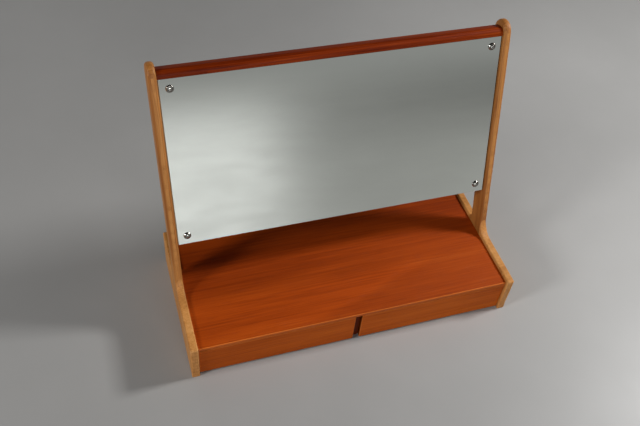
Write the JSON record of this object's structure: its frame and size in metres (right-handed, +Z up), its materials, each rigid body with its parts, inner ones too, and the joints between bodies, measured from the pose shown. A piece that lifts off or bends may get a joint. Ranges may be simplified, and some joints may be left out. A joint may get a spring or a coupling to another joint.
{
  "type": "standing mirror with drawers",
  "caption": "Leaning mirror glass screwed between two side boards, over a low case with sliding drawers; stands on a chest or shelf.",
  "frame": {"origin": "under the middle of the part's box, on the surface it stands on", "axes": "+X to the viewer's right, along the case; +Y to the back; +Z up; the drawers slide out along -Y"},
  "size_m": [0.7, 0.3176, 0.5572],
  "materials": {
    "oak": "oiled oak, satin",
    "teak": "oiled teak veneer, satin",
    "teak_edge": "oiled teak edge, satin",
    "beech": "bare beech",
    "plywood": "bare plywood",
    "mirror_glass": "silvered glass, polished",
    "chromed_metal": "bright plated",
    "steel": "plain"
  },
  "bodies": {
    "case": {"left_side_board": "oak", "right_side_board": "oak", "top_board": "teak", "bottom_board": "plywood", "back_board": "plywood", "centre_divider": "teak_edge", "left_drawer_stop": "beech", "right_drawer_stop": "beech", "top_rail": "teak", "mirror_backing": "plywood", "mirror_glass": "mirror_glass", "left_top_dowel_1": "beech", "left_top_dowel_2": "beech", "left_top_dowel_3": "beech", "right_top_dowel_1": "beech", "right_top_dowel_2": "beech", "right_top_dowel_3": "beech", "left_rail_dowel_1": "beech", "left_rail_dowel_2": "beech", "left_backing_dowel_1": "beech", "left_backing_dowel_2": "beech", "right_rail_dowel_1": "beech", "right_rail_dowel_2": "beech", "right_backing_dowel_1": "beech", "right_backing_dowel_2": "beech", "divider_dowel_1": "beech", "divider_dowel_2": "beech", "divider_dowel_3": "beech", "divider_screw_1": "steel", "divider_screw_2": "steel", "divider_screw_3": "steel", "cup_washer_top_left": "chromed_metal", "cup_washer_top_right": "chromed_metal", "cup_washer_bottom_left": "chromed_metal", "cup_washer_bottom_right": "chromed_metal", "mirror_screw_top_left": "chromed_metal", "mirror_screw_top_right": "chromed_metal", "mirror_screw_bottom_left": "chromed_metal", "mirror_screw_bottom_right": "chromed_metal"},
    "left_drawer": {"left_drawer_front": "teak", "left_drawer_inner_side": "beech", "left_drawer_outer_side": "beech", "left_drawer_back": "beech", "left_drawer_bottom": "plywood"},
    "right_drawer": {"right_drawer_front": "teak", "right_drawer_inner_side": "beech", "right_drawer_outer_side": "beech", "right_drawer_back": "beech", "right_drawer_bottom": "plywood"}
  },
  "joints": [
    {"name": "left_drawer_slide", "type": "slide", "parent": "case", "child": "left_drawer", "axis": [0, -1, 0], "range_m": [0, 0.2]},
    {"name": "right_drawer_slide", "type": "slide", "parent": "case", "child": "right_drawer", "axis": [0, -1, 0], "range_m": [0, 0.2]}
  ]
}
